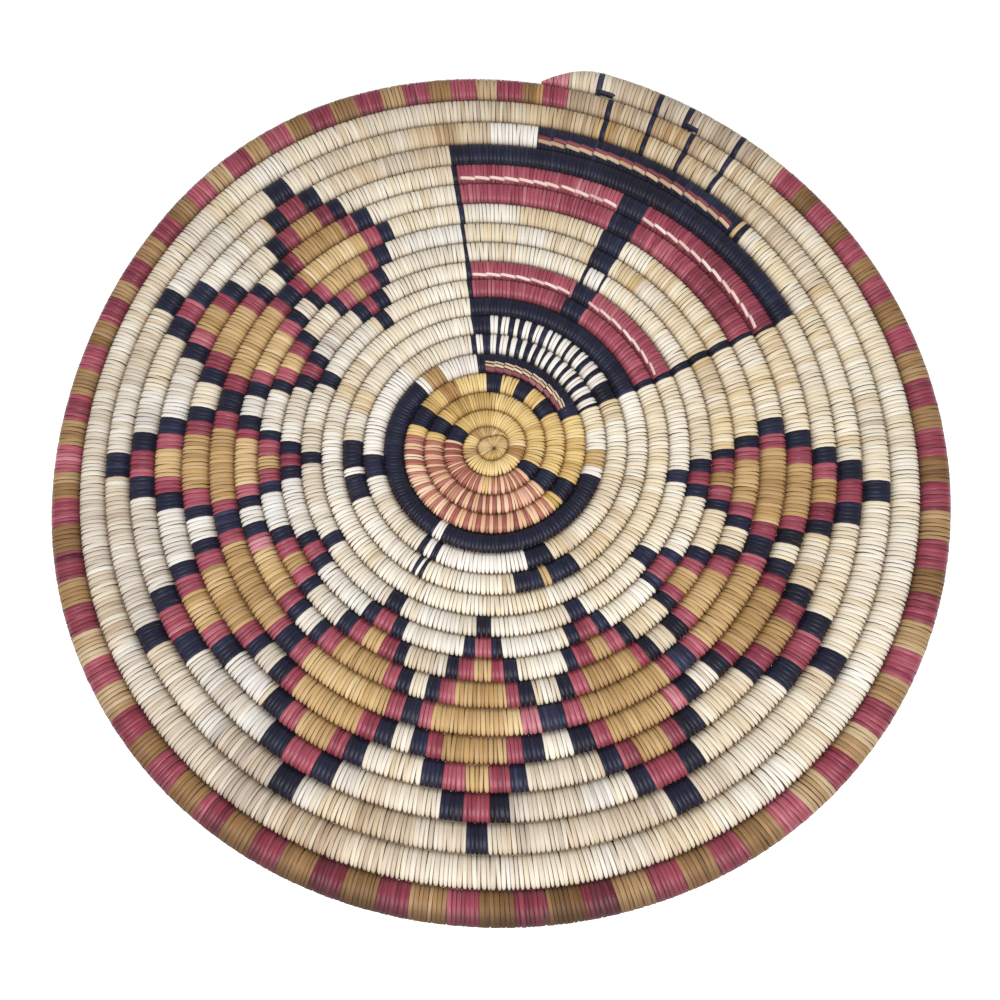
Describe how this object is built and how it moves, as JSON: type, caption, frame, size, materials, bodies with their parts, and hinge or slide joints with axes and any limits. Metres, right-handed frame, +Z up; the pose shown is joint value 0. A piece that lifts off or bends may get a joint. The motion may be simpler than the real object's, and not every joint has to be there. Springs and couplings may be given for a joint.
{
  "type": "coiled basketry plaque",
  "caption": "Flat round coiled basketry plaque of sewn grass coil, with stepped diamonds round a rayed and banded half figure.",
  "frame": {"origin": "under the middle of the outline's box, on the surface that the plaque lies on", "axes": "+Z up out of the face, +Y towards the top of the face, where the coil ends, +X to the right of the face"},
  "size_m": [0.3932, 0.3962, 0.0113],
  "materials": {
    "galleta_grass": "dry stems",
    "natural_yucca": "satin leaf strip",
    "white_yucca": "satin leaf strip",
    "cream_yucca": "satin leaf strip",
    "gold_yucca": "satin leaf strip",
    "yellow_yucca": "satin leaf strip",
    "red_yucca": "satin dyed leaf strip",
    "navy_yucca": "satin dyed leaf strip"
  },
  "bodies": {
    "root": {"grass_foundation": "galleta_grass", "start_knot": "natural_yucca", "sewn_turn_01": "natural_yucca", "sewn_turn_02": "natural_yucca", "sewn_turn_03": "natural_yucca", "sewn_turn_04": "natural_yucca", "sewn_turn_05": "natural_yucca", "sewn_turn_06": "natural_yucca", "sewn_turn_07": "natural_yucca", "sewn_turn_08": "natural_yucca", "sewn_turn_09": "natural_yucca", "sewn_turn_10": "natural_yucca", "sewn_turn_11": "natural_yucca", "sewn_turn_12": "natural_yucca", "sewn_turn_13": "natural_yucca", "sewn_turn_14": "natural_yucca", "sewn_turn_15": "natural_yucca", "sewn_turn_16": "natural_yucca", "sewn_turn_17": "natural_yucca", "sewn_turn_18": "natural_yucca", "sewn_turn_19": "natural_yucca", "white_overlay_lower_right": "white_yucca", "white_overlay_lower_left": "white_yucca", "white_overlay_upper_right": "white_yucca", "white_overlay_upper_left": "white_yucca", "cream_overlay_crown": "cream_yucca", "red_overlay_crown": "red_yucca", "cream_overlay_rim": "cream_yucca", "red_overlay_rim": "red_yucca"}
  },
  "joints": []
}
